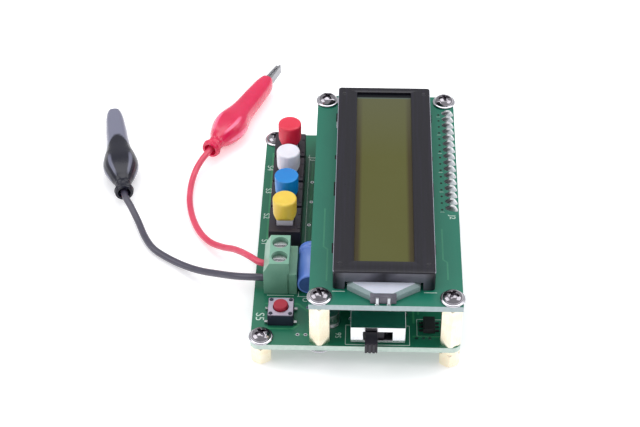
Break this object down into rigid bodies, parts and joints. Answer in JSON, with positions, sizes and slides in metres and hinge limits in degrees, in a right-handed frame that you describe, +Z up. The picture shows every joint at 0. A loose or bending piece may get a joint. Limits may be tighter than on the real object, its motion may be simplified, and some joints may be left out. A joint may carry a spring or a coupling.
{
  "type": "lcr meter",
  "caption": "Open-frame inductance and capacitance meter: two stacked circuit boards on brass pillars, a character display, colour range buttons and two clip leads.",
  "frame": {"origin": "middle of the four leg holes, in the plane of the legs' feet", "axes": "+X to the user's right, +Y away from the user along the display, +Z up"},
  "size_m": [0.0963, 0.1186, 0.0257],
  "materials": {
    "main_board": "satin",
    "display_board": "satin",
    "frame_black": "gloss",
    "display_glass": "gloss",
    "guide_white": "satin",
    "led_grey": "satin",
    "strip_pink": "matte",
    "pin_metal": "polished",
    "black_plastic": "matte",
    "brass": "satin",
    "screw_chrome": "polished",
    "switch_black": "satin",
    "stem_white": "satin",
    "cap_yellow": "satin",
    "cap_blue": "satin",
    "cap_white": "satin",
    "cap_red": "satin",
    "terminal_green": "satin",
    "plated_metal": "satin",
    "plunger_red": "satin",
    "cover_metal": "satin",
    "shell_metal": "polished",
    "lever_black": "satin",
    "can_blue": "satin",
    "chip_black": "matte",
    "can_steel": "satin",
    "resistor_brown": "satin",
    "trimmer_blue": "satin",
    "trimmer_cream": "satin",
    "lead_red": "satin",
    "lead_black": "satin",
    "boot_red": "gloss",
    "boot_black": "gloss",
    "clip_steel": "satin"
  },
  "bodies": {
    "meter": {"main_board": "main_board", "display_board": "display_board", "display_frame": "frame_black", "display_glass": "display_glass", "light_guide": "guide_white", "light_source": "led_grey", "contact_strips": "strip_pink", "header_pins": "pin_metal", "header_strip": "black_plastic", "header_socket": "black_plastic", "pillars": "brass", "legs": "brass", "board_screws": "screw_chrome", "terminal_housing": "terminal_green", "terminal_contacts": "plated_metal", "tact_base": "black_plastic", "tact_cover": "cover_metal", "tact_legs": "plated_metal", "power_switch_base": "black_plastic", "power_switch_shell": "shell_metal", "blue_capacitor": "can_blue", "microcontroller": "chip_black", "comparator_chip": "chip_black", "regulator_chip": "chip_black", "crystal": "can_steel", "resistors": "resistor_brown", "trimmer_body": "trimmer_blue", "power_socket": "shell_metal", "red_lead": "lead_red", "black_lead": "lead_black", "red_boot": "boot_red", "black_boot": "boot_black", "yellow_switch_body": "switch_black", "blue_switch_body": "switch_black", "white_switch_body": "switch_black", "red_switch_body": "switch_black", "red_clip_frame": "clip_steel", "red_clip_pin": "clip_steel", "red_clip_spring": "clip_steel", "black_clip_frame": "clip_steel", "black_clip_pin": "clip_steel", "black_clip_spring": "clip_steel"},
    "yellow_button": {"yellow_switch_stem": "stem_white", "yellow_cap": "cap_yellow"},
    "blue_button": {"blue_switch_stem": "stem_white", "blue_cap": "cap_blue"},
    "white_button": {"white_switch_stem": "stem_white", "white_cap": "cap_white"},
    "red_button": {"red_switch_stem": "stem_white", "red_cap": "cap_red"},
    "function_button": {"tact_plunger": "plunger_red"},
    "power_lever": {"power_switch_lever": "lever_black"},
    "red_clamp_screw": {"red_terminal_screw": "plated_metal"},
    "red_clamp_cage": {"red_terminal_cage": "plated_metal"},
    "black_clamp_screw": {"black_terminal_screw": "plated_metal"},
    "black_clamp_cage": {"black_terminal_cage": "plated_metal"},
    "trimmer": {"trimmer_rotor": "trimmer_cream"},
    "red_jaw": {"red_clip_jaw": "clip_steel"},
    "black_jaw": {"black_clip_jaw": "clip_steel"}
  },
  "joints": [
    {"name": "yellow_press", "type": "slide", "parent": "meter", "child": "yellow_button", "axis": [0, 0, -1], "range_m": [0, 0.0014], "stiffness_N_per_m": 1200},
    {"name": "blue_press", "type": "slide", "parent": "meter", "child": "blue_button", "axis": [0, 0, -1], "range_m": [-0.0011, 0.0003], "stiffness_N_per_m": 1200},
    {"name": "white_press", "type": "slide", "parent": "meter", "child": "white_button", "axis": [0, 0, -1], "range_m": [-0.0011, 0.0003], "stiffness_N_per_m": 1200},
    {"name": "red_press", "type": "slide", "parent": "meter", "child": "red_button", "axis": [0, 0, -1], "range_m": [0, 0.0014], "stiffness_N_per_m": 1200},
    {"name": "function_press", "type": "slide", "parent": "meter", "child": "function_button", "axis": [0, 0, -1], "range_m": [0, 0.0003], "stiffness_N_per_m": 4000},
    {"name": "power_slide", "type": "slide", "parent": "meter", "child": "power_lever", "axis": [1, 0, 0], "range_m": [0, 0.0032]},
    {"name": "red_screw_turn", "type": "hinge", "parent": "meter", "child": "red_clamp_screw", "pos_m": [-0.0187, -0.01481, 0.0148], "axis": [0, 0, 1], "range_deg": [0, 650]},
    {"name": "red_cage_drop", "type": "slide", "parent": "meter", "child": "red_clamp_cage", "axis": [0, 0, -1], "range_m": [0, 0.0009]},
    {"name": "black_screw_turn", "type": "hinge", "parent": "meter", "child": "black_clamp_screw", "pos_m": [-0.0187, -0.01989, 0.0148], "axis": [0, 0, 1], "range_deg": [0, 650]},
    {"name": "black_cage_drop", "type": "slide", "parent": "meter", "child": "black_clamp_cage", "axis": [0, 0, -1], "range_m": [0, 0.0009]},
    {"name": "trimmer_turn", "type": "hinge", "parent": "meter", "child": "trimmer", "pos_m": [-0.005, 0.027, 0.0096], "axis": [0, 0, 1], "range_deg": [-130, 130]},
    {"name": "red_jaw_open", "type": "hinge", "parent": "meter", "child": "red_jaw", "pos_m": [-0.03041, 0.05981, 0.0035], "axis": [0, 0, 1], "range_deg": [0, 12], "stiffness_Nm_per_rad": 0.08, "springref_deg": -14.32, "deforming": ["red_boot"]},
    {"name": "black_jaw_open", "type": "hinge", "parent": "meter", "child": "black_jaw", "pos_m": [-0.06563, 0.03583, 0.0035], "axis": [0, 0, 1], "range_deg": [0, 12], "stiffness_Nm_per_rad": 0.08, "springref_deg": -14.32, "deforming": ["black_boot"]}
  ],
  "couplings": [
    {"joint": "red_screw_turn", "follows": "red_cage_drop", "rad_per_m": 12566},
    {"joint": "black_screw_turn", "follows": "black_cage_drop", "rad_per_m": 12566}
  ]
}
